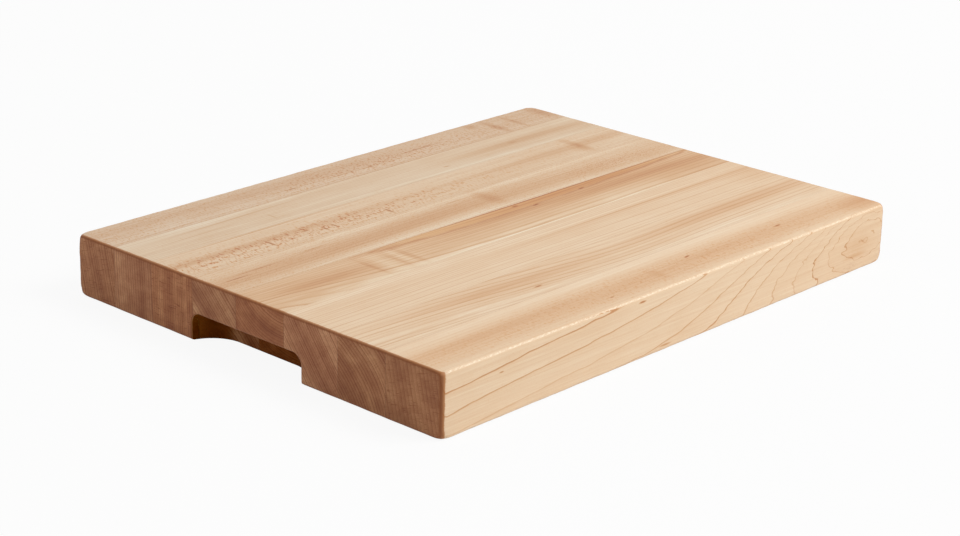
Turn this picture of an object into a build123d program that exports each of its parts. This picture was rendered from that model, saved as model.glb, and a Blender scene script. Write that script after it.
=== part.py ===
"""Edge-glued maple cutting board: full-length staves, their glue lines and a hand grip under each end.

Millimetres, +Z up. The origin is the middle of the underside, +X runs along the grain and -Y is the front edge.
"""

from build123d import *
from math import sqrt
import os

# Staves: the planed width of each, from the back edge to the front edge
STAVE_1_WIDTH = 43.8
STAVE_2_WIDTH = 42.7
STAVE_3_WIDTH = 45.8
STAVE_4_WIDTH = 46.4
STAVE_5_WIDTH = 49.9
STAVE_6_WIDTH = 53.6
STAVE_7_WIDTH = 45.8
STAVE_8_WIDTH = 52.3
GLUE_LINE = 0.1

# Finished board
BOARD_LENGTH = 508.0
BOARD_THICKNESS = 48.7
EDGE_ROUND = 2.4
CORNER_ROUND = 3.2

# Hand grip: routed into the underside, open at the end face
GRIP_MOUTH = 115.6
GRIP_DEPTH = 21.4
GRIP_HEIGHT = 22.0
GRIP_CORNER_RADIUS = 29.0
GRIP_NOSE_RADIUS = 8.5
GRIP_RIM_ROUND = 0.9
GRIP_OFF_CENTRE = 2.2

# How far the router runs below the underside, and how near counts as touching
CUT_OVERRUN = 5.0
TOUCHING = 0.01

stave_widths = {
    "stave_1_back_edge": STAVE_1_WIDTH,
    "stave_2": STAVE_2_WIDTH,
    "stave_3": STAVE_3_WIDTH,
    "stave_4": STAVE_4_WIDTH,
    "stave_5": STAVE_5_WIDTH,
    "stave_6": STAVE_6_WIDTH,
    "stave_7": STAVE_7_WIDTH,
    "stave_8_front_edge": STAVE_8_WIDTH,
}
board_width = sum(stave_widths.values()) + GLUE_LINE * (len(stave_widths) - 1)
half_length = BOARD_LENGTH / 2

# The template's round corners begin outside the end face, so it is a little wider than the mouth that it leaves
corner_outside = max(GRIP_CORNER_RADIUS - GRIP_DEPTH, 0.0)
corner_narrowing = GRIP_CORNER_RADIUS - sqrt(GRIP_CORNER_RADIUS**2 - corner_outside**2)
template_width = GRIP_MOUTH + 2 * corner_narrowing
template_length = GRIP_DEPTH + 2 * GRIP_CORNER_RADIUS
template_centre = half_length - GRIP_DEPTH + template_length / 2

os.makedirs("parts", exist_ok=True)


def on_grip_rim(edge):
    """True where a grip breaks out of the end face, the underside or the round between them."""
    spot = edge.center()
    beside_grip = abs(spot.Y - GRIP_OFF_CENTRE) < GRIP_MOUTH / 2 + TOUCHING
    at_end = abs(spot.X) > half_length - EDGE_ROUND
    return beside_grip and (at_end or spot.Z < TOUCHING)


# Round-nosed router cut for one grip, standing in the plane of the underside
with BuildPart() as grip_cut:
    with BuildSketch(Plane.XY.offset(-CUT_OVERRUN)):
        RectangleRounded(template_length, template_width, GRIP_CORNER_RADIUS)
    extrude(amount=CUT_OVERRUN + GRIP_HEIGHT)
    fillet(grip_cut.faces().sort_by(Axis.Z)[-1].edges(), GRIP_NOSE_RADIUS)

# The glued-up board after its edges are rounded and its grips are routed
with BuildPart() as board:
    with BuildSketch():
        Rectangle(BOARD_LENGTH, board_width)
    extrude(amount=BOARD_THICKNESS)
    fillet(board.edges().filter_by(Axis.Z), CORNER_ROUND)
    fillet(board.faces().filter_by(Axis.Z).edges(), EDGE_ROUND)
    with Locations((-template_centre, GRIP_OFF_CENTRE), (template_centre, GRIP_OFF_CENTRE)):
        add(grip_cut.part, mode=Mode.SUBTRACT)
    fillet(board.edges(Select.LAST).filter_by(on_grip_rim), GRIP_RIM_ROUND)


def write_slice(name, low_y, width):
    """Write the part of the finished board that lies between two planes across its width."""
    with BuildPart() as piece:
        add(board.part)
        with Locations((0, low_y + width / 2, BOARD_THICKNESS / 2)):
            Box(BOARD_LENGTH, width, BOARD_THICKNESS, mode=Mode.INTERSECT)
    piece.part.label = name
    export_step(piece.part, f"parts/{name}.step")


# Staves and glue lines in turn, from the back edge to the front edge
front_of_last = board_width / 2
for number, (name, width) in enumerate(stave_widths.items(), start=1):
    write_slice(name, front_of_last - width, width)
    front_of_last -= width
    if number < len(stave_widths):
        write_slice(f"glue_line_{number}_{number + 1}", front_of_last - GLUE_LINE, GLUE_LINE)
        front_of_last -= GLUE_LINE
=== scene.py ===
"""Edge-glued maple cutting board: eight full-length staves, seven glue lines and a hand grip under each end.

Each stave is one numpy surface, a closed outline carried across the board from its back seam to its front
seam. Its maple is solid: growth rings, rays and fibres are fields in the board's own space, so the top, the
end grain and the grips cut through the same rings. Blender works in metres, and the sizes here are in
millimetres. +Z is up, +X runs along the grain and -Y is the front edge.
"""

from __future__ import annotations

import logging
import math
from collections.abc import Mapping
from dataclasses import dataclass, field, replace
from enum import Enum
from functools import cached_property

import bmesh
import bpy
import numpy as np
from mathutils import Matrix, Vector

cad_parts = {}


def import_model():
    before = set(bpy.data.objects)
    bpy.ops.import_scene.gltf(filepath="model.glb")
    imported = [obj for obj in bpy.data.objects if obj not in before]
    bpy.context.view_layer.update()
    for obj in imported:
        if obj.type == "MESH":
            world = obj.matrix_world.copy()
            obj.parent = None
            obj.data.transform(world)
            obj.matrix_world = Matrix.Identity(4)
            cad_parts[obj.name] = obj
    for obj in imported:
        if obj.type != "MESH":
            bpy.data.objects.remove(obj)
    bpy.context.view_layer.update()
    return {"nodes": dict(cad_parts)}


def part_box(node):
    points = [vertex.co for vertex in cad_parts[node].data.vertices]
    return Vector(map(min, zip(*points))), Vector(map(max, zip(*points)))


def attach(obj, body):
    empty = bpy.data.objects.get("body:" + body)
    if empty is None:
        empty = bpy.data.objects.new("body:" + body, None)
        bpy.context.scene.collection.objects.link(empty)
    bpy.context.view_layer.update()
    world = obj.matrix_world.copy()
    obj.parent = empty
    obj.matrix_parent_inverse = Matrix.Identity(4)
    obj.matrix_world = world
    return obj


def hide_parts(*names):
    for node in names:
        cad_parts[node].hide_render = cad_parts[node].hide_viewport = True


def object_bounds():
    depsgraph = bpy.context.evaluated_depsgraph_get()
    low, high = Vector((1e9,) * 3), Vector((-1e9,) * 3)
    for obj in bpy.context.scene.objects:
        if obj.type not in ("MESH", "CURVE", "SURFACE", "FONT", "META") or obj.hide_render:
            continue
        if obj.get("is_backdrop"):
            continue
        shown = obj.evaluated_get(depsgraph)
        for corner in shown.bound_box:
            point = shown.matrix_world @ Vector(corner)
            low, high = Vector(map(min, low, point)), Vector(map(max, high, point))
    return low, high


MM = 0.001
MERGE_DISTANCE = 2e-6
NO_LENGTH = 1e-7
SHARP_ANGLE = math.radians(40)
SEED_STEP = 13.0
BODY = "root"
log = logging.getLogger("cutting_board")

Triple = tuple[float, float, float]
NONE: Triple = (0.0, 0.0, 0.0)
WHITE: Triple = (1.0, 1.0, 1.0)


def linear(red: int, green: int, blue: int) -> Triple:
    """Turn a colour as a screen shows it into the linear colour that shaders take.

    Args:
        red: Red, from 0 to 255.
        green: Green, from 0 to 255.
        blue: Blue, from 0 to 255.

    Returns:
        The linear red, green and blue, from 0 to 1.
    """
    screen = np.array((red, green, blue)) / 255
    light = np.where(screen <= 0.04045, screen / 12.92, ((screen + 0.055) / 1.055) ** 2.4)
    return tuple(float(part) for part in light)


class Value:
    """A number that changes over a surface: one node output with Python's operators."""

    def __init__(self, graph: Graph, socket: bpy.types.NodeSocket) -> None:
        """Keep the graph and the output socket."""
        self.graph = graph
        self.socket = socket

    def __add__(self, other: Value | float) -> Value:
        """Add."""
        return self.graph.math("ADD", self, other)

    def __radd__(self, other: float) -> Value:
        """Add to a plain number."""
        return self.graph.math("ADD", other, self)

    def __sub__(self, other: Value | float) -> Value:
        """Subtract."""
        return self.graph.math("SUBTRACT", self, other)

    def __rsub__(self, other: float) -> Value:
        """Subtract from a plain number."""
        return self.graph.math("SUBTRACT", other, self)

    def __mul__(self, other: Value | float) -> Value:
        """Multiply."""
        return self.graph.math("MULTIPLY", self, other)

    def __rmul__(self, other: float) -> Value:
        """Multiply a plain number."""
        return self.graph.math("MULTIPLY", other, self)

    def __truediv__(self, other: Value | float) -> Value:
        """Divide."""
        return self.graph.math("DIVIDE", self, other)

    def __abs__(self) -> Value:
        """Drop the sign."""
        return self.graph.math("ABSOLUTE", self)

    def fraction(self) -> Value:
        """Give the part after the decimal point."""
        return self.graph.math("FRACT", self)

    def whole(self) -> Value:
        """Give the next whole number below."""
        return self.graph.math("FLOOR", self)

    def exponential(self) -> Value:
        """Raise e to this power."""
        return self.graph.math("EXPONENT", self)

    def at_most(self, other: Value | float) -> Value:
        """Take the smaller of two numbers."""
        return self.graph.math("MINIMUM", self, other)

    def at_least(self, other: Value | float) -> Value:
        """Take the larger of two numbers."""
        return self.graph.math("MAXIMUM", self, other)

    def step(self, low: float, high: float) -> Value:
        """Ease from 0 at one value to 1 at another, and stay there.

        Args:
            low: Where the result is 0.
            high: Where the result is 1; it may be the smaller of the two.

        Returns:
            The eased share.
        """
        node = self.graph.node(
            "ShaderNodeMapRange",
            {"interpolation_type": "SMOOTHSTEP", "clamp": True},
            {"Value": self, "From Min": low, "From Max": high},
        )
        return Value(self.graph, node.outputs["Result"])


class Graph:
    """The node tree of one material or world, written as expressions."""

    def __init__(self, tree: bpy.types.NodeTree) -> None:
        """Empty the tree and keep it."""
        self.tree = tree
        tree.nodes.clear()

    def node(
        self,
        kind: str,
        settings: Mapping[str, object] | None = None,
        inputs: Mapping[str | int, object] | None = None,
    ) -> bpy.types.Node:
        """Add one node.

        Args:
            kind: The node's type.
            settings: The node's own settings, which are set before its sockets.
            inputs: A plain value, a Value or a node output for each input, by name or by place.

        Returns:
            The node.
        """
        made = self.tree.nodes.new(kind)
        for name, setting in (settings or {}).items():
            setattr(made, name, setting)
        for name, given in (inputs or {}).items():
            socket = made.inputs[name]
            source = given.socket if isinstance(given, Value) else given
            if isinstance(source, bpy.types.NodeSocket):
                self.tree.links.new(source, socket)
            elif socket.type == "RGBA" and len(source) == 3:
                socket.default_value = (*source, 1.0)
            else:
                socket.default_value = source
        return made

    def surface(self, looks: Mapping[str, object], bare: Value | None = None) -> None:
        """Join a surface to the material's output, with no gloss where it was left bare.

        Args:
            looks: What the inputs of its Principled shader are given.
            bare: Where it has no gloss, from 0 to 1, or None if it has gloss all over.
        """
        shader = self.node("ShaderNodeBsdfPrincipled", None, looks)
        if bare is not None:
            matt = {**looks, "Roughness": 1.0, "Specular IOR Level": 0.0}
            matt_shader = self.node("ShaderNodeBsdfPrincipled", None, matt)
            mixed = {0: bare, 1: shader.outputs[0], 2: matt_shader.outputs[0]}
            shader = self.node("ShaderNodeMixShader", None, mixed)
        self.node("ShaderNodeOutputMaterial", None, {"Surface": shader.outputs[0]})

    @cached_property
    def place(self) -> bpy.types.NodeSocket:
        """The place in the board, in millimetres."""
        coordinates = self.node("ShaderNodeTexCoord").outputs
        return self.vector("MULTIPLY", coordinates["Object"], (1 / MM, 1 / MM, 1 / MM))

    def normal(self) -> tuple[Value, Value, Value]:
        """Give the x, y and z of the direction that the surface faces."""
        return self.parts(self.node("ShaderNodeTexCoord").outputs["Normal"])

    def seen(self) -> Value:
        """Tell what the camera sees, straight, in a mirror or through glass: 1, and 0 for other light."""
        ray = self.node("ShaderNodeLightPath").outputs
        straight = Value(self, ray["Is Camera Ray"]) + Value(self, ray["Is Glossy Ray"])
        return (straight + Value(self, ray["Is Transmission Ray"])).at_most(1.0)

    def math(self, operation: str, *numbers: Value | float) -> Value:
        """Add one Math node, by Blender's name of the operation."""
        inputs = dict(enumerate(numbers))
        return Value(self, self.node("ShaderNodeMath", {"operation": operation}, inputs).outputs[0])

    def vector(self, operation: str, *vectors: object) -> bpy.types.NodeSocket:
        """Add one Vector Math node that gives a vector, by Blender's name of the operation."""
        inputs = dict(enumerate(vectors))
        return self.node("ShaderNodeVectorMath", {"operation": operation}, inputs).outputs["Vector"]

    def along(self, vector: bpy.types.NodeSocket, direction: Triple) -> Value:
        """Measure a vector along a fixed direction, whose length scales the result: their dot product."""
        made = self.node("ShaderNodeVectorMath", {"operation": "DOT_PRODUCT"}, {0: vector, 1: direction})
        return Value(self, made.outputs["Value"])

    def parts(self, vector: bpy.types.NodeSocket) -> tuple[Value, Value, Value]:
        """Split a vector into its x, y and z."""
        outputs = self.node("ShaderNodeSeparateXYZ", None, {0: vector}).outputs
        return Value(self, outputs[0]), Value(self, outputs[1]), Value(self, outputs[2])

    def joined(self, x: Value | float, y: Value | float, z: Value | float) -> bpy.types.NodeSocket:
        """Make a vector from its x, y and z."""
        return self.node("ShaderNodeCombineXYZ", None, {0: x, 1: y, 2: z}).outputs[0]

    def noise(
        self,
        stretch: Triple,
        detail: float = 1.0,
        seed: float = 0.0,
        roughness: float = 0.5,
        at: bpy.types.NodeSocket | None = None,
    ) -> Value:
        """Smooth random value whose blobs are as long, wide and high as stated.

        Args:
            stretch: The size of a blob along x, y and z, in millimetres.
            detail: How many finer layers are added.
            seed: A shift that makes one noise differ from the next.
            roughness: The share of the finer layers.
            at: Where the noise is read, or None for the place in the board.

        Returns:
            The value, centred on 0 and seldom past 0.5 either way.
        """
        shift, scale = (seed, seed * 1.7, seed * 2.3), tuple(1 / size for size in stretch)
        inputs = {"Vector": at or self.place, "Location": shift, "Scale": scale}
        scaled = self.node("ShaderNodeMapping", {"vector_type": "POINT"}, inputs).outputs[0]
        inputs = {"Vector": scaled, "Scale": 1.0, "Detail": detail, "Roughness": roughness}
        made = self.node("ShaderNodeTexNoise", {"noise_dimensions": "3D"}, inputs)
        return Value(self, made.outputs[0]) - 0.5

    def patch(self, centre: Triple, reach: Triple, turn: float = 0.0) -> Value:
        """Measure how far a place is from the middle of an ellipsoid, as a share of its reach.

        Args:
            centre: The middle.
            reach: The half length, half width and half height.
            turn: The turn about z, in degrees.

        Returns:
            0 at the middle, 1 on the ellipsoid and more outside it.
        """
        about_z = (0.0, 0.0, math.radians(turn))
        inputs = {"Vector": self.place, "Location": centre, "Rotation": about_z, "Scale": reach}
        local = self.node("ShaderNodeMapping", {"vector_type": "TEXTURE"}, inputs).outputs[0]
        length = self.node("ShaderNodeVectorMath", {"operation": "LENGTH"}, {0: local})
        return Value(self, length.outputs["Value"])

    def more(self, share: Value, step: Triple, fall: object = NONE) -> bpy.types.NodeSocket:
        """Add a share of a step to how far red, green and blue have fallen, as natural logarithms."""
        return self.vector("MULTIPLY_ADD", share, step, fall)

    def toned(self, mean: Triple, fall: bpy.types.NodeSocket) -> bpy.types.NodeSocket:
        """Darken a colour: each channel becomes its mean times e to the power of minus its fall."""
        shares = ((part * -1.0).exponential() for part in self.parts(fall))
        return self.joined(*(share * level for share, level in zip(shares, mean)))

    def blend(self, share: Value | float, first: object, second: object) -> bpy.types.NodeSocket:
        """Mix two colours.

        Args:
            share: 0 gives the first colour and 1 the second.
            first: A colour or a node output.
            second: A colour or a node output.

        Returns:
            The colour.
        """
        settings = {"data_type": "RGBA", "clamp_factor": True}
        made = self.node("ShaderNodeMix", settings, {0: share, 6: first, 7: second})
        return made.outputs[2]


@dataclass(frozen=True)
class Grip:
    """Hand grip, routed with a round-nosed cutter into the underside and open at the end face."""

    mouth: float = 115.6
    depth: float = 21.4
    height: float = 22.0
    corner: float = 29.0
    nose: float = 8.5
    rim: float = 0.9
    off_centre: float = 2.2

    @property
    def outside(self) -> float:
        """How far outside the end face the middle of a plan corner lies."""
        return self.corner - self.depth

    @property
    def straight(self) -> float:
        """Half the width of the straight back wall."""
        return self.mouth / 2 - math.sqrt(self.corner**2 - self.outside**2)

    @property
    def flat(self) -> float:
        """Half the width of the flat ceiling where it meets the end face."""
        return self.straight + math.sqrt((self.corner - self.nose) ** 2 - self.outside**2)

    def roll(self, away: np.ndarray) -> np.ndarray:
        """Depth of the rim's round, a quarter circle, at a distance outside the mouth on the end face."""
        left = self.rim - np.clip(away, 0.0, self.rim)
        return self.rim - np.sqrt(np.maximum(self.rim**2 - left**2, 0.0))

    def routed(self, graph: Graph, end: float) -> Value:
        """Mask of both grips: inside the template's plan, below the ceiling and past the rim.

        Args:
            graph: The material's graph.
            end: Distance from the board's middle to its end faces.

        Returns:
            1 on the surfaces that the cutter left, 0 elsewhere.
        """
        x, y, z = graph.parts(graph.place)
        inward = end - abs(x)
        along = inward + self.outside
        aside = (abs(y - self.off_centre) - self.straight).at_least(0.0)
        plan = (along * along + aside * aside).step((self.corner + 0.9) ** 2, (self.corner + 0.15) ** 2)
        return plan * z.step(self.height + 0.9, self.height + 0.1) * inward.step(0.4, 1.4)

    def corner_shade(self, graph: Graph) -> Value:
        """Tell how far round a plan corner a place lies, from 0 to 1: painted shade deepens there."""
        return (abs(graph.parts(graph.place)[1] - self.off_centre) - self.straight).step(2.0, 20.0)


class Finish:
    """A finish that is made into one procedural material."""

    name: str

    def material(self) -> bpy.types.Material:
        """Give the finish's material, which is made the first time that it is asked for."""
        made = bpy.data.materials.get(self.name)
        if made is None:
            made = bpy.data.materials.new(self.name)
            made.use_nodes = True
            self.paint(Graph(made.node_tree))
        return made

    def paint(self, graph: Graph) -> None:
        """Write the finish's nodes into an empty tree."""
        raise NotImplementedError


class Slot(Enum):
    """The material slots."""

    TAN = "maple_tan"
    CREAM = "maple_cream"
    GOLD = "maple_gold"
    GLUE = "glue"


class Mark(Enum):
    """What a mark in the maple is, with how far it takes red, green and blue down, as natural logarithms."""

    PALE = (-0.14, -0.30, -0.47)
    BROWN = (0.28, 0.62, 0.98)
    GOLD = (0.04, 0.26, 0.72)
    DARK = (0.72, 1.60, 2.50)
    FLECK = (0.27, 0.86, 1.58)


class Grain(Enum):
    """The wood's noises: a blob's size in millimetres, its finer layers, a shift and the layers' share."""

    WANDER = ((170.0, 60.0, 60.0), 1.0, 1.0, 0.5)
    JAG = ((9.0, 9.0, 5.0), 1.0, 31.0, 0.5)
    UNEVEN = ((1.9, 1.0, 1.0), 0.0, 9.0, 0.5)
    FIBRE = ((34.0, 0.6, 0.6), 2.0, 3.1, 0.5)
    SILK = ((110.0, 1.5, 1.5), 1.0, 4.3, 0.5)
    STRAND = ((190.0, 2.6, 2.6), 2.0, 7.7, 0.5)
    SEASON = ((5.5, 1.0, 1.0), 1.0, 0.0, 0.5)
    CLOUD = ((30.0, 34.0, 34.0), 1.0, 11.0, 0.5)
    FLECK = ((1.1, 3.9, 0.85), 1.0, 5.0, 0.5)
    SPARKLE = ((2.6, 1.2, 1.2), 3.0, 23.0, 0.8)
    PORE = ((4.0, 0.42, 0.42), 1.0, 17.0, 0.5)
    BLOTCH = ((30.0, 11.0, 9.0), 2.0, 19.0, 0.5)
    RAY = ((4.0, 7.0, 0.7), 1.0, 29.0, 0.5)


@dataclass(frozen=True)
class Figure:
    """One mark that the photograph shows in a stave's face: a band, a streak, a fleck zone or a small pip.

    It is an ellipsoid whose middle is measured from the left end and the back edge, and lies below the top by
    `below`. `soft` is the share of its reach over which it fades, and `rim` the strength of a dark outline.
    """

    kind: Mark
    from_left: float
    from_back: float
    half_length: float
    half_width: float
    strength: float
    turn: float = 0.0
    soft: float = 1.0
    half_height: float = 26.0
    rim: float = 0.0
    below: float = 0.0


@dataclass(frozen=True)
class Hill:
    """A swelling of the trunk that lifts the growth rings and closes them round itself on a sawn face.

    It adds `rings` rings at its middle, fewer as a bell curve of the distance, and `waver` makes them jagged.
    """

    centre: Triple
    reach: Triple
    rings: float
    waver: float = 0.0


@dataclass(frozen=True)
class Rings:
    """How a stave lies in the trunk: the lean, spacing and bend of its growth rings."""

    lean: float
    spacing: float
    bend: float = 0.0
    drift: float = 0.0
    wander: float = 2.0
    ripple: float = 0.35
    ripple_length: float = 120.0
    late: float = 0.34
    uneven: float = 1.3
    hills: tuple[Hill, ...] = ()


@dataclass(frozen=True)
class MapleFinish(Finish):
    """Oiled hard maple of one stave, solid through the wood, with darker end grain.

    `mean` and `end` are the tones of its long and its end grain, and `line`, `tone`, `rays` and `end_rays`
    the strengths of its ring lines, its shading and its rays. How far painted shade darkens it inside the
    recessed grips is also given, and 0 in a stave that they miss.
    """

    node: str
    slot: Slot
    mean: Triple
    end: Triple
    rings: Rings
    end_rays: float = 0.28
    line: float = 0.30
    tone: float = 0.30
    rays: float = 0.08
    top_line: float = 1.0
    # Depth of the painted shade inside the grips, 0 where they miss the stave.
    grip_shade: float = 0.0
    figures: tuple[Figure, ...] = ()
    middle: Triple = NONE
    seed: float = 0.0
    corner: Triple = (-254.0, 190.5, 48.7)
    end_light: Triple = (1.76, 1.52, 1.19)
    long_fall: Triple = (0.46, 1.0, 1.56)
    end_fall: Triple = (0.65, 1.0, 1.18)
    arris_oil: Triple = linear(176, 108, 50)
    oil_fall: Triple = (0.42, 0.55, 0.40)
    oil_share: float = 0.85
    # Painted highlight, partly real wear: the pale glint on the upper long arrises and how much of it is laid
    # on.
    arris_worn_glint: Triple = linear(252, 236, 210)
    worn_glint_share: float = 0.8
    # How far red, green and blue fall under the painted shade inside the grips.
    grip_shade_fall: Triple = (0.62, 1.01, 2.30)
    refraction: float = 1.46
    gloss: float = 0.35
    relief_strength: float = 0.15
    relief_depth: float = 0.00012

    @property
    def name(self) -> str:
        """Name of the stave's material."""
        return f"{self.node}_maple"

    def noise(self, graph: Graph, grain: Grain, at: bpy.types.NodeSocket | None = None) -> Value:
        """Write one of the wood's noises, with the stave's own shift."""
        stretch, detail, shift, roughness = grain.value
        return graph.noise(stretch, detail, self.seed + shift, roughness, at)

    def paint(self, graph: Graph) -> None:
        """Write growth rings, fibres, rays, figures and end grain, and join them to the shader."""
        facing, edge_on, upward = graph.normal()
        facing = abs(facing)
        cross_cut = facing.step(0.35, 0.92)

        ring, across, count = self.ring_field(graph)
        share = ring.fraction()
        lot = graph.node("ShaderNodeTexWhiteNoise", {"noise_dimensions": "1D"}, {"W": ring.whole()})
        chance = Value(graph, lot.outputs[0])
        late = self.rings.late
        line = share.step(1.0 - late, 1.0 - 0.3 * late) * share.step(1.0, 1.0 - 0.12 * late)
        line = line * (0.2 + 0.8 * chance)
        slope = share * share * (0.5 + 0.5 * chance)

        x = graph.parts(graph.place)[0]
        fibre = self.noise(graph, Grain.FIBRE)
        silk = self.noise(graph, Grain.SILK)
        strand = self.noise(graph, Grain.STRAND)
        season = self.noise(graph, Grain.SEASON, graph.joined(ring, x * 0.004, 0.0))
        cloud = self.noise(graph, Grain.CLOUD)
        in_trunk = graph.joined(x, count, across)
        fleck = self.noise(graph, Grain.FLECK, in_trunk).step(0.03, 0.24)

        shade = self.tone * (season + 0.55 * strand + 0.3 * cloud) * 2.2 + 0.42 * fibre + 0.38 * silk
        shade = 0.045 + 0.54 * (shade + self.tone * (slope - 0.25))
        shade = shade + line * (0.95 * self.line * (1.0 - (1.0 - self.top_line) * upward.step(0.6, 0.95)))
        fall = graph.more(shade, self.long_fall)
        fall = graph.more(fleck * self.ray_share(graph), Mark.FLECK.value, fall)
        fall = self.add_figures(graph, fall, fibre + cloud * 0.4)
        colour = graph.toned(self.mean, fall)
        # Painted highlight, partly real wear: the upper long arrises are blended towards a pale glint where
        # the sparkle noise breaks through.
        sparkle = self.noise(graph, Grain.SPARKLE)
        worn_glint = abs(edge_on).step(0.38, 0.58) * abs(edge_on).step(0.95, 0.83) * upward.step(0.15, 0.4)
        colour = graph.blend(worn_glint * sparkle.step(-0.08, 0.14) * self.worn_glint_share, colour, self.arris_worn_glint)

        pore = self.noise(graph, Grain.PORE)
        blotch = self.noise(graph, Grain.BLOTCH)
        ray = self.noise(graph, Grain.RAY, in_trunk).step(0.10, 0.26)
        cut = 1.3 * pore + 0.55 * line + 0.5 * (slope - 0.25) + 2.0 * season + 1.2 * blotch
        cut = cut + self.end_rays * (ray - 0.2)
        end_mean = tuple(part * gain for part, gain in zip(self.end, self.end_light))
        end_colour = graph.toned(end_mean, graph.more(cut, self.end_fall))
        colour = graph.blend(cross_cut, colour, end_colour)
        frayed = facing + 0.25 * pore + 0.15 * sparkle
        ragged = frayed + 0.4 * blotch
        oiled = ragged.step(0.12, 0.32) * frayed.step(1.02, 0.90) * facing.step(0.02, 0.10)
        oil = graph.toned(self.arris_oil, graph.more(facing.step(0.40, 0.80), self.oil_fall))
        colour = graph.blend(oiled * self.oil_share, colour, oil)
        in_grip = None
        # Painted shade inside the recessed grips: each stave's own depth, deeper round the plan corners,
        # mottled by blotch and pore noise.
        if self.grip_shade:
            grip = Grip()
            in_grip = grip.routed(graph, -self.corner[0])
            depth = (self.grip_shade + grip.corner_shade(graph)) * (1.0 + 1.2 * blotch + pore)
            grip_shaded = graph.toned(WHITE, graph.more(in_grip * depth, self.grip_shade_fall))
            colour = graph.vector("MULTIPLY", colour, grip_shaded)

        rough = 0.50 + 0.10 * cross_cut + 0.22 * fibre + 0.06 * cloud
        relief = fibre * 0.8 - line * 0.3 + pore * cross_cut - fleck * 0.15
        pressed = {"Strength": self.relief_strength, "Distance": self.relief_depth, "Height": relief}
        bump = graph.node("ShaderNodeBump", None, pressed)
        looks = {
            "Base Color": colour,
            "Roughness": rough,
            "Normal": bump.outputs[0],
            "IOR": self.refraction,
            "Specular IOR Level": self.gloss,
        }
        graph.surface(looks, in_grip)

    def ring_field(self, graph: Graph) -> tuple[Value, Value, Value]:
        """Count the growth rings from the stave's middle.

        Args:
            graph: The material's graph.

        Returns:
            The ring count, the distance along a ring and the distance across the rings.
        """
        r = self.rings
        lean = math.radians(r.lean)
        local = graph.vector("SUBTRACT", graph.place, self.middle)
        count = graph.along(local, (r.drift, -math.sin(lean), math.cos(lean)))
        across = graph.along(local, (0.0, -math.cos(lean), -math.sin(lean)))
        bent = count + across * across * (r.bend / 2)
        bent = bent + self.noise(graph, Grain.WANDER) * (2 * r.wander)
        bent = bent + graph.noise((r.ripple_length, 9.0, 9.0), 2.0, self.seed + 2.0) * (2 * r.ripple)
        ring = bent / r.spacing
        for hill in r.hills:
            away = graph.patch(hill.centre, hill.reach)
            jag = 1.0 + hill.waver * self.noise(graph, Grain.JAG)
            ring = ring + hill.rings * jag * (away * away * -1.0).exponential()
        uneven = self.noise(graph, Grain.UNEVEN, graph.joined(ring, 0.0, 0.0))
        return ring + r.uneven * uneven + 50.0, across, bent

    def ray_share(self, graph: Graph) -> Value | float:
        """Strength of the ray flecks: the stave's own, and more inside its fleck zones.

        Args:
            graph: The material's graph.

        Returns:
            The strength.
        """
        strength: Value | float = self.rays
        for figure in (f for f in self.figures if f.kind is Mark.FLECK):
            zone = self.figure_reach(graph, figure).step(1.0, 1.0 - figure.soft)
            strength = zone * figure.strength + strength
        return strength

    def figure_reach(self, graph: Graph, figure: Figure) -> Value:
        """Share of the way from a figure's middle to its outline."""
        left, back, top = self.corner
        centre = (left + figure.from_left, back - figure.from_back, top - figure.below)
        reach = (figure.half_length, figure.half_width, figure.half_height)
        return graph.patch(centre, reach, figure.turn)

    def add_figures(self, graph: Graph, fall: bpy.types.NodeSocket, fray: Value) -> bpy.types.NodeSocket:
        """Lay the stave's bands, streaks and pips over its tone, with fibrous outlines.

        Args:
            graph: The material's graph.
            fall: How far red, green and blue have fallen so far.
            fray: The noise that frays each outline.

        Returns:
            The fall with the figures.
        """
        for figure in (f for f in self.figures if f.kind is not Mark.FLECK):
            reach = self.figure_reach(graph, figure) + fray * 0.5
            fall = graph.more(reach.step(1.0, 1.0 - figure.soft) * figure.strength, figure.kind.value, fall)
            if figure.rim:
                rim = reach.step(0.86, 0.98) * reach.step(1.06, 0.99)
                fall = graph.more(rim * figure.rim, Mark.DARK.value, fall)
        return fall


@dataclass(frozen=True)
class GlueFinish(Finish):
    """Cured wood glue in a tight seam: amber, slightly glossy, broken by the fibres beside it."""

    name: str = "cured_glue"
    light: Triple = linear(205, 168, 128)
    dark: Triple = linear(160, 112, 72)
    shaded: Triple = linear(48, 26, 10)
    end: float = 254.0

    def paint(self, graph: Graph) -> None:
        """Write the glue's colour, which varies along the seam, and join it to the shader."""
        along = graph.noise((22.0, 3.0, 3.0), 3.0)
        colour = graph.blend((0.5 + along).at_least(0.0), self.light, self.dark)
        in_grip = Grip().routed(graph, self.end)
        colour = graph.blend(in_grip, colour, self.shaded)
        facing = abs(graph.normal()[0])
        colour = graph.blend(facing.step(0.35, 0.92) * 0.9, colour, self.shaded)
        graph.surface({"Base Color": colour, "Roughness": 0.42 + 0.1 * along, "IOR": 1.48}, in_grip)


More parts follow.
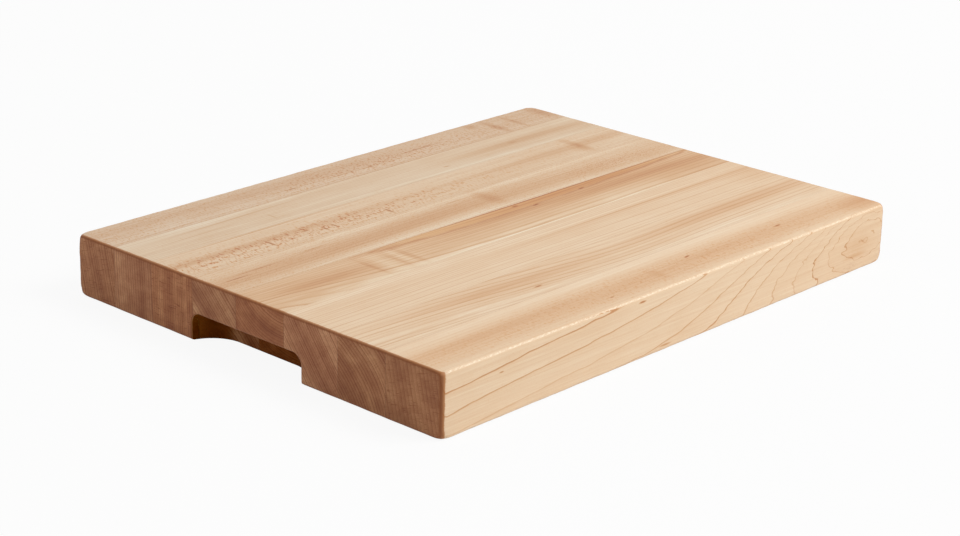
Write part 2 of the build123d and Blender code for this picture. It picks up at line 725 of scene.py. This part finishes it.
@dataclass
class BoardSkin:
    """The finished board's outer surface, as outlines that any stave or glue line can be cut from."""

    half_length: float
    half_width: float
    thickness: float
    edge_round: float = 2.4
    corner_round: float = 3.2
    grip: Grip = field(default_factory=Grip)
    long_steps: int = 84
    round_steps: int = 8
    wall_steps: int = 8
    nose_steps: int = 12
    face_steps: int = 8
    sanding: float = 0.11
    tip_reach: float = 3.4
    tip_round: float = 0.75
    face_margin: float = 1.5
    first_step: float = 0.002
    flat_step: float = 4.0
    plan_steps: int = 25
    past_corner: float = 10.0
    past_corner_step: float = 1.4
    past_rim: float = 0.4
    apart: float = 1e-4

    def half_outline(self, y: np.ndarray) -> np.ndarray:
        """Outline of one end at each place across the board, from the underside's middle to the top's.

        The parts follow each other: underside, lower round, grip wall, round nose, ceiling, rim, end face,
        upper round and top. In the nose the plan corner keeps its middle and loses radius as the ceiling
        nears, so its depth is sqrt((corner - inset)^2 - sideways^2) less what lies outside the end face. Away
        from a grip those parts shrink to points on the end face.

        Args:
            y: Places across the board, one per outline.

        Returns:
            Distance in from the end face and height, for each place and each point of the outline.
        """
        g = self.grip
        y = np.asarray(y, float)[:, None]
        from_edge = self.half_width - np.abs(y)
        aside = np.abs(y - g.off_centre)
        half_mouth = g.mouth / 2
        nose_start = g.height - g.nose

        sideways = np.maximum(aside - g.straight, 0.0)
        room = np.clip(g.corner - np.hypot(g.outside, sideways), 0.0, g.nose)
        nose_end = np.arccos(1 - room / g.nose)
        share = np.linspace(0.0, 1.0, self.nose_steps + 1)[None, :]
        inset = g.nose * (1 - np.cos(nose_end * share))
        depth = np.sqrt(np.maximum((g.corner - inset) ** 2 - sideways**2, 0.0)) - g.outside
        nose_in = np.where(aside < half_mouth, np.maximum(depth, g.rim), g.roll(aside - half_mouth))
        nose_up = nose_start + g.nose * np.sin(nose_end * share)
        corner_in = self._corner_inset(from_edge, 0.0)
        wall_in = np.maximum(nose_in[:, :1], corner_in)
        nose_in = np.maximum(nose_in, corner_in)

        low_round = np.where(wall_in > 0, np.maximum(g.rim, self.edge_round - wall_in), self.edge_round)
        low_round = np.where(from_edge < self.corner_round, self.edge_round, low_round)
        turn_end = np.arccos(1 - np.minimum(from_edge, self.edge_round) / self.edge_round)
        turn = turn_end * np.linspace(1.0, 0.0, self.round_steps + 1)[None, :]
        low_in = np.where(
            from_edge < self.corner_round,
            self._corner_inset(from_edge, self.edge_round * (1 - np.cos(turn))),
            wall_in + low_round * (1 - np.cos(turn)),
        )
        low_up = low_round * (1 - np.sin(turn))
        floor_in = self._long_run(low_in[:, :1])[:, ::-1]
        floor_up = np.broadcast_to(low_up[:, :1], floor_in.shape)

        rise = np.linspace(0.0, 1.0, self.wall_steps + 1)[None, 1:-1]
        wall_up = low_up[:, -1:] + (nose_start - low_up[:, -1:]) * rise
        wall_in = np.broadcast_to(wall_in, wall_up.shape)
        back = np.linspace(0.0, 1.0, self.wall_steps + 1)[None, 1:]
        ceiling_end = np.maximum(np.minimum(nose_in[:, -1:], g.rim), corner_in)
        ceiling_in = nose_in[:, -1:] + (ceiling_end - nose_in[:, -1:]) * back
        ceiling_up = np.broadcast_to(nose_up[:, -1:], ceiling_in.shape)

        half_bend = half_mouth - g.flat
        mean_bend = (half_bend + g.nose) / 2
        over = np.maximum(aside - g.flat, 0.0) / half_bend
        rim_end = nose_start + g.nose * np.sqrt(np.maximum((1 + g.rim / mean_bend) ** 2 - over**2, 0.0))
        swing = 1 - np.cos(np.linspace(0.0, np.pi / 2, self.round_steps + 1))[None, 1:]
        rim_up = nose_up[:, -1:] + np.maximum(rim_end - nose_up[:, -1:], 0.0) * swing
        away = (np.hypot(over, np.maximum(rim_up - nose_start, 0.0) / g.nose) - 1) * mean_bend
        rim_in = np.maximum(g.roll(away), corner_in)

        high_up = self.thickness - self.edge_round * (1 - np.sin(turn[:, ::-1]))
        high_in = self._corner_inset(from_edge, self.edge_round * (1 - np.cos(turn[:, ::-1])))
        climb = np.linspace(0.0, 1.0, self.face_steps + 1)[None, 1:-1]
        face_up = rim_up[:, -1:] + (high_up[:, :1] - rim_up[:, -1:]) * climb
        face_in = np.broadcast_to(corner_in, face_up.shape)
        top_in = self._long_run(high_in[:, -1:])
        top_up = np.broadcast_to(high_up[:, -1:], top_in.shape)

        inward = (floor_in, low_in, wall_in, nose_in, ceiling_in, rim_in, face_in, high_in, top_in)
        upward = (floor_up, low_up, wall_up, nose_up, ceiling_up, rim_up, face_up, high_up, top_up)
        return np.stack((np.concatenate(inward, axis=1), np.concatenate(upward, axis=1)), axis=2)

    def _corner_inset(self, from_edge: np.ndarray, rounded: np.ndarray | float) -> np.ndarray:
        """Distance in from the end face where a plan corner's circle has lost some radius to the edge round.

        Args:
            from_edge: Distance from the long edge.
            rounded: What the edge round has taken off the radius.

        Returns:
            corner - sqrt((corner - rounded)^2 - (corner - from_edge)^2), or the round away from a corner.
        """
        c = self.corner_round
        left = np.maximum(c - from_edge, 0.0)
        return c - np.sqrt(np.maximum((c - rounded) ** 2 - left**2, 0.0))

    def _long_run(self, start: np.ndarray) -> np.ndarray:
        """Distances in from the end face to the board's middle, with a short first step that stays flat."""
        steps = np.concatenate(([self.first_step], np.linspace(0.0, 1.0, self.long_steps + 1)[1:]))[None, :]
        return start + (self.half_length - start) * steps

    def places(self, low: float, high: float) -> np.ndarray:
        """Places across a slice where an outline is needed, from its back seam to its front seam.

        They lie a few millimetres apart on the flats, and follow equal turns round the long edges, the grip's
        plan corners and its rims.

        Args:
            low: The slice's front plane.
            high: The slice's back plane.

        Returns:
            The places, from the largest to the smallest.
        """
        g = self.grip
        quarter = np.linspace(0.0, np.pi / 2, self.round_steps + 1)
        beyond = self.corner_round + np.arange(0.0, self.past_corner, self.past_corner_step)
        edge = np.concatenate((self.edge_round * (1 - np.cos(quarter)), beyond))
        opening = math.acos(g.outside / g.corner)
        plan = g.straight + g.corner * np.sin(np.linspace(0.0, opening, self.plan_steps + 1))
        rim = g.mouth / 2 + g.rim * (1 - np.cos(quarter))
        beside = np.concatenate((plan, rim, [g.mouth / 2 + g.rim + self.past_rim]))
        flats = np.arange(low, high, self.flat_step)
        found = np.concatenate(
            (
                [low, high],
                flats,
                self.half_width - edge,
                edge - self.half_width,
                g.off_centre + beside,
                g.off_centre - beside,
            )
        )
        found = np.sort(found[(found >= low) & (found <= high)])[::-1]
        return found[np.concatenate(([True], np.diff(found) < -self.apart))]

    def sanded(self, points: np.ndarray) -> np.ndarray:
        """Ease the arrises by hand: press each edge in along its diagonal by a depth that wavers along it.

        The pressure falls away from an edge as a bell curve of the distance to both its faces, and at a
        corner's tip, where three faces meet, a rounder press is added.

        Args:
            points: Points of the skin, in millimetres.

        Returns:
            The points after sanding.
        """
        x, y, z = np.moveaxis(points, -1, 0)
        to_end, to_edge = self.half_length - np.abs(x), self.half_width - np.abs(y)
        to_flat = np.minimum(z, self.thickness - z)
        up = np.where(z > self.thickness / 2, 1.0, -1.0)
        run = np.sin(x * 0.113 + 1.3) + np.sin(x * 0.291 + np.sign(y)) * 0.8 + np.sin(x * 0.677 + up) * 0.5
        across = np.sin(y * 0.094 + np.sign(x)) + np.sin(y * 0.313 + up) * 0.6
        upright = np.sin(z * 0.52 + np.sign(x) * 0.8) + np.sin(z * 1.21 + np.sign(y)) * 0.6
        wide = 2 * self.edge_round**2
        long_edge = np.exp(-(to_flat**2 + to_edge**2) / wide) * (1.1 + 0.42 * run)
        end_edge = np.exp(-(to_flat**2 + to_end**2) / wide) * (0.8 + 0.36 * across)
        corner = np.exp(-(to_end**2 + to_edge**2) / wide) * (1.5 + 0.8 * upright)
        tip = np.exp(-(to_end**2 + to_edge**2 + to_flat**2) / (2 * self.tip_reach**2)) * self.tip_round
        press = np.stack(
            (
                -np.sign(x) * (self.sanding * np.maximum(end_edge + corner, 0.0) + tip),
                -np.sign(y) * (self.sanding * np.maximum(long_edge + corner, 0.0) + tip),
                -up * (self.sanding * np.maximum(long_edge + end_edge, 0.0) + tip),
            ),
            axis=-1,
        )
        return points + press

    def slice_points(self, low: float, high: float) -> np.ndarray:
        """Carry the outline across one slice of the board.

        Args:
            low: The slice's front plane.
            high: The slice's back plane.

        Returns:
            Points by place across the board and along the closed outline, which runs to the right along the
            underside and to the left along the top.
        """
        y = self.places(low, high)
        half = self.half_outline(y)
        x = self.half_length - half[:, :, 0]
        right = np.stack((x, np.broadcast_to(y[:, None], x.shape), half[:, :, 1]), axis=2)
        left = right[:, -2:0:-1] * np.array((-1.0, 1.0, 1.0))
        rows = self.sanded(np.concatenate((right, left), axis=1))
        if high > self.half_width - self.face_margin:
            rows = np.concatenate((self._drawn_in(rows[:1]), rows))
        if low < self.face_margin - self.half_width:
            rows = np.concatenate((rows, self._drawn_in(rows[-1:])))
        return rows

    def _drawn_in(self, outline: np.ndarray) -> np.ndarray:
        """Draw the last outline in by a margin on one plane, so that the long face inside it is lit as flat.

        Args:
            outline: The outline where an edge round meets the long face.

        Returns:
            The outline of the flat face.
        """
        share = 1 - self.face_margin / np.array((self.half_length, np.inf, self.thickness / 2))
        middle = np.array((0.0, 0.0, self.thickness / 2))
        inner = middle + (outline - middle) * share
        inner[..., 1] = np.sign(outline[..., 1]) * np.abs(outline[..., 1]).max()
        return inner


def ribbon_faces(rows: int, around: int) -> tuple[np.ndarray, tuple[list[int], list[int]]]:
    """Faces of closed outlines that follow each other, and the two faces that close them.

    Args:
        rows: The number of outlines.
        around: The number of points in each.

    Returns:
        The four-sided faces between outlines, and the face at the last outline and at the first.
    """
    index = np.arange(rows * around).reshape(rows, around)
    onward = np.roll(index, -1, axis=1)
    quads = np.stack((index[:-1], onward[:-1], onward[1:], index[1:]), axis=2).reshape(-1, 4)
    return quads, (index[-1].tolist(), index[0, ::-1].tolist())


@dataclass
class BoardSlice:
    """One full-length slice of the board between two planes: a stave or the glue between two staves."""

    node: str
    low: float
    high: float
    slot: str
    finish: Finish

    def build(self, skin: BoardSkin) -> bpy.types.Object:
        """Make the slice's mesh from the board's skin, close it and merge what shrank to points.

        Args:
            skin: The board's outer surface.

        Returns:
            The piece, at the origin.
        """
        points = skin.slice_points(self.low, self.high)
        rows, around = points.shape[:2]
        quads, caps = ribbon_faces(rows, around)
        mesh = bpy.data.meshes.new(f"{self.node}_surface")
        mesh.from_pydata((points.reshape(-1, 3) * MM).tolist(), [], [*quads.tolist(), *caps])
        self._merge(mesh)
        mesh.polygons.foreach_set("use_smooth", np.ones(len(mesh.polygons), bool))
        mesh.set_sharp_from_angle(angle=SHARP_ANGLE)
        piece = bpy.data.objects.new(f"{self.node}_dressed", mesh)
        bpy.context.scene.collection.objects.link(piece)
        return piece

    @staticmethod
    def _merge(mesh: bpy.types.Mesh) -> None:
        """Join points that lie on each other and drop the faces that lose their area by it."""
        work = bmesh.new()
        work.from_mesh(mesh)
        bmesh.ops.remove_doubles(work, verts=work.verts, dist=MERGE_DISTANCE)
        bmesh.ops.dissolve_degenerate(work, edges=work.edges, dist=NO_LENGTH)
        work.to_mesh(mesh)
        work.free()

    def dress(self, piece: bpy.types.Object) -> None:
        """Give the piece its finish, set it on the body and let it stand for its CAD node."""
        piece.data.materials.append(self.finish.material())
        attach(piece, BODY)
        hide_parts(self.node)


STAVES = (
    MapleFinish(
        "stave_1_back_edge",
        Slot.TAN,
        linear(211, 181, 150),
        linear(133, 91, 67),
        Rings(lean=77, spacing=3.0, wander=2.5),
        end_rays=0.6,
        line=0.12,
        rays=0.45,
        figures=(
            Figure(Mark.PALE, 200, 36, 330, 9, 0.40),
            Figure(Mark.BROWN, 150, 15, 260, 11, 0.22),
            Figure(Mark.FLECK, 300, 27, 170, 19, 0.90),
            Figure(Mark.BROWN, 437, 24, 7, 30, 0.62),
            Figure(Mark.BROWN, 461, 22, 5, 30, 0.50),
            Figure(Mark.BROWN, 500, 20, 12, 30, 0.50),
            Figure(Mark.BROWN, 420, 10, 9, 12, 0.45),
            Figure(Mark.BROWN, 278, 30, 2.4, 10, 0.6),
            Figure(Mark.BROWN, 256, 30, 2.0, 8, 0.4),
            Figure(Mark.BROWN, 340, 23.4, 36, 1.7, 0.85, 1.5),
            Figure(Mark.DARK, 190, 31.2, 9, 1.0, 0.6, -3.0),
        ),
    ),
    MapleFinish(
        "stave_2",
        Slot.CREAM,
        linear(219, 194, 164),
        linear(139, 98, 75),
        Rings(lean=88, spacing=2.6, drift=-0.008, wander=1.6),
        end_rays=0.15,
        line=0.24,
        figures=(
            Figure(Mark.PALE, 254, 83.6, 340, 4.5, 0.45),
            Figure(Mark.PALE, 100, 46.5, 230, 3.5, 0.5),
            Figure(Mark.BROWN, 420, 63, 165, 12, 0.55),
            Figure(Mark.BROWN, 100, 54.5, 110, 1.8, 0.45, 1.2),
            Figure(Mark.BROWN, 70, 64, 60, 1.6, 0.35, 1.0),
            Figure(Mark.DARK, 323, 74, 5, 1.6, 0.35, -8.0),
            Figure(Mark.BROWN, 413, 65, 8, 3.5, 0.3),
            Figure(Mark.BROWN, 133, 70, 2.5, 10, 0.3),
        ),
    ),
    MapleFinish(
        "stave_3",
        Slot.TAN,
        linear(221, 193, 161),
        linear(133, 88, 63),
        Rings(lean=89, spacing=2.2, wander=1.2),
        end_rays=0.8,
        line=0.18,
        rays=0.20,
        grip_shade=0.5,
        figures=(
            Figure(Mark.FLECK, 110, 118, 330, 20, 1.45),
            Figure(Mark.FLECK, 60, 109, 360, 9, 0.4),
            Figure(Mark.BROWN, 60, 109, 400, 9, 0.45),
            Figure(Mark.BROWN, 430, 108, 170, 14, 0.30),
            Figure(Mark.BROWN, 120, 88.2, 150, 1.5, 0.6),
            Figure(Mark.DARK, 90, 116.5, 1.7, 11, 0.70),
            Figure(Mark.DARK, 143, 119.5, 1.6, 7, 0.65),
            Figure(Mark.DARK, 153, 119, 1.5, 8, 0.60),
            Figure(Mark.DARK, 208, 123, 1.7, 10, 0.65),
            Figure(Mark.DARK, 128, 113.5, 5, 1.5, 0.5),
            Figure(Mark.BROWN, 448, 106, 8, 34, 0.50),
            Figure(Mark.BROWN, 444, 118, 13, 14, 0.32),
        ),
    ),
    MapleFinish(
        "stave_4",
        Slot.CREAM,
        linear(219, 188, 154),
        linear(134, 94, 71),
        Rings(lean=45, spacing=2.6, wander=2.0),
        end_rays=0.2,
        line=0.07,
        rays=0.38,
        grip_shade=0.05,
        figures=(
            Figure(Mark.BROWN, 130, 158, 380, 17, 0.62),
            Figure(Mark.PALE, 254, 136.5, 340, 7, 0.60),
            Figure(Mark.PALE, 254, 176.5, 340, 7, 0.60),
            Figure(Mark.FLECK, 440, 160, 85, 14, 0.85),
            Figure(Mark.BROWN, 288, 153, 12, 30, 0.42),
            Figure(Mark.BROWN, 45, 151, 48, 1.6, 0.7),
            Figure(Mark.DARK, 22, 156, 18, 1.1, 0.55),
            Figure(Mark.BROWN, 105, 147, 22, 1.4, 0.6, 2.0),
            Figure(Mark.BROWN, 260, 142, 14, 1.2, 0.5),
        ),
    ),
    MapleFinish(
        "stave_5",
        Slot.GOLD,
        linear(219, 184, 146),
        linear(134, 89, 64),
        Rings(
            lean=22,
            spacing=2.3,
            bend=-1 / 70,
            wander=1.6,
            ripple=0.3,
            hills=(
                Hill((40.0, 8.0, 48.7), (150.0, 22.0, 30.0), -2.4),
                Hill((-330.0, -14.0, 30.0), (170.0, 60.0, 60.0), 5.0),
            ),
        ),
        end_rays=0.2,
        line=0.30,
        tone=0.40,
        grip_shade=0.4,
        figures=(
            Figure(Mark.GOLD, 335, 177.5, 205, 12.8, 0.48, 1.1, 0.25, 26.0, 0.34),
            Figure(Mark.BROWN, 330, 184, 195, 8, 0.82),
            Figure(Mark.BROWN, 400, 200, 230, 16, 0.58),
            Figure(Mark.BROWN, 480, 210, 120, 22, 0.30),
            Figure(Mark.BROWN, 250, 194, 110, 7, 0.5),
            Figure(Mark.BROWN, 60, 202, 90, 11, 0.55, -4.0),
            Figure(Mark.PALE, 122, 204, 12, 34, 0.85),
            Figure(Mark.PALE, 140, 200, 5, 28, 0.6),
            Figure(Mark.PALE, 254, 230, 480, 15, 1.35),
            Figure(Mark.BROWN, 109, 206, 3.5, 28, 0.40),
            Figure(Mark.BROWN, 147, 206, 4.5, 28, 0.36),
            Figure(Mark.BROWN, 133, 208, 2.6, 22, 0.28),
            Figure(Mark.DARK, 302, 191.7, 5, 1.5, 0.85, 6.0),
            Figure(Mark.DARK, 360, 188.7, 5, 1.5, 0.85, 4.0),
            Figure(Mark.DARK, 287, 183, 5, 2.2, 0.55),
            Figure(Mark.DARK, 335, 179.0, 215, 1.5, 0.9, 0.0, 0.6),
        ),
    ),
    MapleFinish(
        "stave_6",
        Slot.CREAM,
        linear(230, 203, 171),
        linear(154, 114, 91),
        Rings(lean=53, spacing=2.35, drift=-0.004, wander=1.0),
        end_rays=0.2,
        line=0.26,
        tone=0.22,
        grip_shade=0.4,
        figures=(
            Figure(Mark.BROWN, 390, 247.5, 300, 6, 0.34),
            Figure(Mark.BROWN, 400, 246.5, 190, 1.4, 0.5),
            Figure(Mark.PALE, 60, 236, 240, 9, 0.35),
            Figure(Mark.BROWN, 515, 264, 70, 34, 0.30),
        ),
    ),
    MapleFinish(
        "stave_7",
        Slot.GOLD,
        linear(227, 197, 163),
        linear(131, 90, 66),
        Rings(
            lean=53,
            spacing=3.0,
            bend=1 / 55,
            wander=1.0,
            hills=(
                Hill((-300.0, -115.0, 40.0), (230.0, 60.0, 60.0), 4.6),
                Hill((20.0, -118.0, 48.0), (95.0, 40.0, 50.0), -1.3),
            ),
        ),
        end_rays=0.2,
        line=0.30,
        tone=0.30,
        figures=(
            Figure(Mark.BROWN, 390, 300, 230, 11, 0.33),
            Figure(Mark.BROWN, 150, 300, 150, 10, 0.35, -3.0),
            Figure(Mark.PALE, 180, 324, 330, 7, 0.62),
            Figure(Mark.PALE, 90, 317, 130, 4, 0.45, -3.0),
            Figure(Mark.DARK, 166, 315.7, 6, 1.3, 0.85),
        ),
    ),
    MapleFinish(
        "stave_8_front_edge",
        Slot.GOLD,
        linear(234, 207, 175),
        linear(132, 92, 68),
        Rings(
            lean=77,
            spacing=3.54,
            drift=-0.017,
            wander=0.5,
            ripple=0.42,
            ripple_length=30.0,
            late=0.09,
            uneven=0.3,
            hills=(
                Hill((197.2, -190.5, 24.1), (124.7, 9.0, 41.1), -5.2, 0.14),
                Hill((239.2, -190.5, 40.2), (58.2, 9.0, 36.1), -3.88, 0.14),
            ),
        ),
        end_rays=0.6,
        line=0.82,
        tone=0.14,
        top_line=0.2,
        figures=(
            Figure(Mark.BROWN, 280, 358, 620, 25, 0.50, 0.0, 0.9, 9.0),
            Figure(Mark.BROWN, 60, 352, 150, 10, 0.28, 0.0, 1.0, 9.0),
            Figure(Mark.PALE, 254, 334, 340, 6, 0.2, 0.0, 1.0, 9.0),
            Figure(Mark.BROWN, 247, 358, 9, 20, 0.20, 0.0, 1.0, 9.0),
            Figure(Mark.FLECK, 270, 360, 420, 26, 0.32, 0.0, 0.8, 9.0),
            # Darker towards the right end of the top and the upper front.
            Figure(Mark.BROWN, 512, 368, 62, 24, 0.55, 0.0, 1.0, 9.0),
            Figure(Mark.DARK, 293, 350, 5, 1.5, 0.8, 10.0),
            Figure(Mark.DARK, 400, 354, 6, 1.7, 0.75, 4.0),
            Figure(Mark.DARK, 187, 366.7, 3.5, 1.1, 0.6),
            Figure(Mark.DARK, 204, 381, 5, 4, 0.7, half_height=1.1, below=4.2),
            Figure(Mark.DARK, 57, 381, 3, 4, 0.5, half_height=0.8, below=15.4),
            Figure(Mark.DARK, 232, 381, 9, 4, 0.4, half_height=1.2, below=44.4),
            Figure(Mark.BROWN, 474, 381, 30, 8, 0.22, half_height=14, below=26),
            Figure(Mark.BROWN, 470, 381, 24, 4, 0.45, half_height=2.4, below=35),
            Figure(Mark.BROWN, 470, 381, 150, 12, 0.12, half_height=40, below=30),
        ),
    ),
)
GLUE_NODES = tuple(f"glue_line_{number}_{number + 1}" for number in range(1, 8))


@dataclass
class CuttingBoard:
    """The whole board: the skin, its eight staves and the glue between them."""

    skin: BoardSkin
    slices: list[BoardSlice] = field(default_factory=list)

    @classmethod
    def from_frame(cls) -> CuttingBoard:
        """Read the board's size and each slice's planes from the loaded frame.

        Returns:
            The board, with nothing built yet.
        """
        half_length, half_width, thickness = (float(part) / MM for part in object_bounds()[1])
        board = cls(BoardSkin(half_length, half_width, thickness))
        for number, wood in enumerate(STAVES, start=1):
            front, back = (float(corner[1]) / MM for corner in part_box(wood.node))
            middle = (0.0, (front + back) / 2, board.skin.thickness / 2)
            finish = replace(wood, middle=middle, seed=SEED_STEP * number)
            board.slices.append(BoardSlice(wood.node, front, back, wood.slot.value, finish))
        glue = GlueFinish()
        for node in GLUE_NODES:
            front, back = (float(corner[1]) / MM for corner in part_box(node))
            board.slices.append(BoardSlice(node, front, back, Slot.GLUE.value, glue))
        return board

    def build(self) -> None:
        """Build and dress every slice, and report it."""
        for part in self.slices:
            piece = part.build(self.skin)
            part.dress(piece)
            log.info("%s: %d faces, %s", piece.name, len(piece.data.polygons), part.finish.name)


@dataclass(frozen=True)
class FloorFinish(Finish):
    """White paper sweep: it takes the board's shadow and light, looks white and is clear from below."""

    name: str = "white_paper"
    paper: Triple = linear(230, 230, 228)
    grey: Triple = linear(225, 225, 225)
    clean: float = 0.92

    def paint(self, graph: Graph) -> None:
        """Write a faintly mottled paper, mostly replaced by plain white where the camera sees it."""
        mottle = graph.noise((400.0, 400.0, 400.0), 3.0)
        colour = graph.blend(0.5 + mottle, self.paper, self.grey)
        paper = graph.node("ShaderNodeBsdfDiffuse", None, {"Color": colour})
        white = graph.node("ShaderNodeEmission", None, {"Color": WHITE, "Strength": 1.0})
        shares = {0: graph.seen() * self.clean, 1: paper.outputs[0], 2: white.outputs[0]}
        mixed = graph.node("ShaderNodeMixShader", None, shares)
        clear = graph.node("ShaderNodeBsdfTransparent")
        below = graph.node("ShaderNodeNewGeometry").outputs["Backfacing"]
        sheet = graph.node("ShaderNodeMixShader", None, {0: below, 1: mixed.outputs[0], 2: clear.outputs[0]})
        graph.node("ShaderNodeOutputMaterial", None, {"Surface": sheet.outputs[0]})


@dataclass(frozen=True)
class Lamp:
    """One soft box."""

    name: str
    towards: Triple
    distance: float
    size: float
    power: float

    def hang(self) -> None:
        """Hang the lamp so that it faces the board."""
        data = bpy.data.lights.new(self.name, "AREA")
        data.shape, data.size, data.energy = "SQUARE", self.size, self.power
        lamp = bpy.data.objects.new(self.name, data)
        away = Vector(self.towards).normalized()
        lamp.location = away * self.distance
        lamp.rotation_mode = "QUATERNION"
        lamp.rotation_quaternion = away.to_track_quat("Z", "Y")
        bpy.context.scene.collection.objects.link(lamp)


@dataclass
class Studio:
    """White studio: paper floor, soft boxes, a dim white surround and the photograph's camera."""

    floor_size: float = 12.0
    floor_drop: float = 0.0003
    floor_lines: int = 9
    surround: float = 0.40
    lamps: tuple[Lamp, ...] = (
        Lamp("key_soft_box", (0.40, -0.57, 0.72), 5.0, 2.6, 186.0),
        Lamp("back_soft_box", (0.35, 0.75, 0.75), 4.0, 2.2, 12.0),
    )
    lens: float = 88.01
    sensor: float = 36.0
    clip: tuple[float, float] = (0.05, 50.0)
    eye: Triple = (-1.26988406, -1.15837848, 0.63114167)
    right: Triple = (0.6832166, -0.7299362, 0.0202023)
    down: Triple = (-0.2361812, -0.2470743, -0.9397727)
    ahead: Triple = (0.6909656, 0.6372969, -0.3412025)

    def build(self) -> None:
        """Set up the floor, the surround, the lamps and the camera."""
        self._floor()
        self._surround()
        for lamp in self.lamps:
            lamp.hang()
        self._camera()
        bpy.context.scene.view_settings.view_transform = "Standard"

    def _floor(self) -> None:
        """Lay the floor: a flat grid with its middle under the board, just clear of the underside."""
        side = np.linspace(-self.floor_size / 2, self.floor_size / 2, self.floor_lines)
        x, y = np.meshgrid(side, side)
        points = np.stack((x, y, np.full_like(x, -self.floor_drop)), axis=2).reshape(-1, 3)
        index = np.arange(x.size).reshape(x.shape)
        corners = (index[:-1, :-1], index[:-1, 1:], index[1:, 1:], index[1:, :-1])
        quads = np.stack(corners, axis=2).reshape(-1, 4)
        mesh = bpy.data.meshes.new("paper_floor")
        mesh.from_pydata(points.tolist(), [], quads.tolist())
        floor = bpy.data.objects.new("paper_floor", mesh)
        mesh.materials.append(FloorFinish().material())
        bpy.context.scene.collection.objects.link(floor)
        floor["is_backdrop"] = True

    def _surround(self) -> None:
        """Make the world white to the eye and in reflections, and dimmer as a light."""
        world = bpy.data.worlds.new("studio_surround")
        world.use_nodes = True
        graph = Graph(world.node_tree)
        strength = self.surround + (1.0 - self.surround) * graph.seen()
        light = graph.node("ShaderNodeBackground", None, {"Color": WHITE, "Strength": strength})
        graph.node("ShaderNodeOutputWorld", None, {"Surface": light.outputs[0]})
        bpy.context.scene.world = world

    def _camera(self) -> None:
        """Stand the camera where the photograph was taken from."""
        data = bpy.data.cameras.new("photo_camera")
        data.lens, data.sensor_width, data.sensor_fit = self.lens, self.sensor, "HORIZONTAL"
        data.clip_start, data.clip_end = self.clip
        camera = bpy.data.objects.new("photo_camera", data)
        axes = np.array((self.right, -np.array(self.down), -np.array(self.ahead))).T
        camera.matrix_world = Matrix.Translation(self.eye) @ Matrix(axes.tolist()).to_4x4()
        bpy.context.scene.collection.objects.link(camera)
        bpy.context.scene.camera = camera


def main() -> None:
    """Load the frame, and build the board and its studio."""
    logging.basicConfig(level=logging.INFO, format="%(name)s: %(message)s")
    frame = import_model()
    log.info("frame loaded: %d nodes", len(frame["nodes"]))
    CuttingBoard.from_frame().build()
    Studio().build()
    log.info("studio built")


if __name__ == "__main__":
    main()
